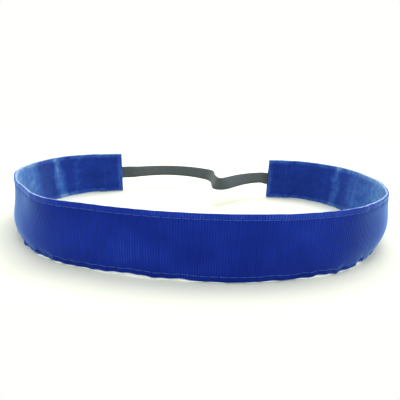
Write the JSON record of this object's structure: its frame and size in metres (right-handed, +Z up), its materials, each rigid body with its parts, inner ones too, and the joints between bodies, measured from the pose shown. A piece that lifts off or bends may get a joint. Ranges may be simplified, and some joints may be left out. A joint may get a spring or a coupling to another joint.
{
  "type": "sports headband",
  "caption": "Narrow fabric headband, ribbon outside and velvet inside, sewn round the edge, with a thin elastic strap joining its ends at the back.",
  "frame": {"origin": "on the floor that the band stands on, under the middle of the whole headband's bounding box", "axes": "+Z up, across the ribbon's width; -Y towards the front middle of the band, +Y towards the elastic at the back; +X towards the right half as seen from the front"},
  "size_m": [0.1644, 0.1404, 0.0222],
  "materials": {
    "grosgrain": "matte ribbed royal blue",
    "velvet": "matte napped royal blue",
    "thread": "soft light blue",
    "elastic": "matte braided charcoal"
  },
  "bodies": {
    "left_half": {"grosgrain_ribbon_left": "grosgrain", "velvet_lining_left": "velvet", "edge_seam_needle_thread_left": "thread", "edge_seam_bobbin_thread_left": "thread", "hem_row_needle_thread_left": "thread", "hem_row_bobbin_thread_left": "thread", "elastic_strap": "elastic"},
    "right_half": {"grosgrain_ribbon_right": "grosgrain", "velvet_lining_right": "velvet", "edge_seam_needle_thread_right": "thread", "edge_seam_bobbin_thread_right": "thread", "hem_row_needle_thread_right": "thread", "hem_row_bobbin_thread_right": "thread"}
  },
  "joints": [
    {"name": "front_bend", "type": "hinge", "parent": "left_half", "child": "right_half", "pos_m": [0.0033, -0.06916, 0], "axis": [0, 0, -1], "range_deg": [-36, 30], "stiffness_Nm_per_rad": 0.02, "deforming": ["elastic_strap"]}
  ]
}
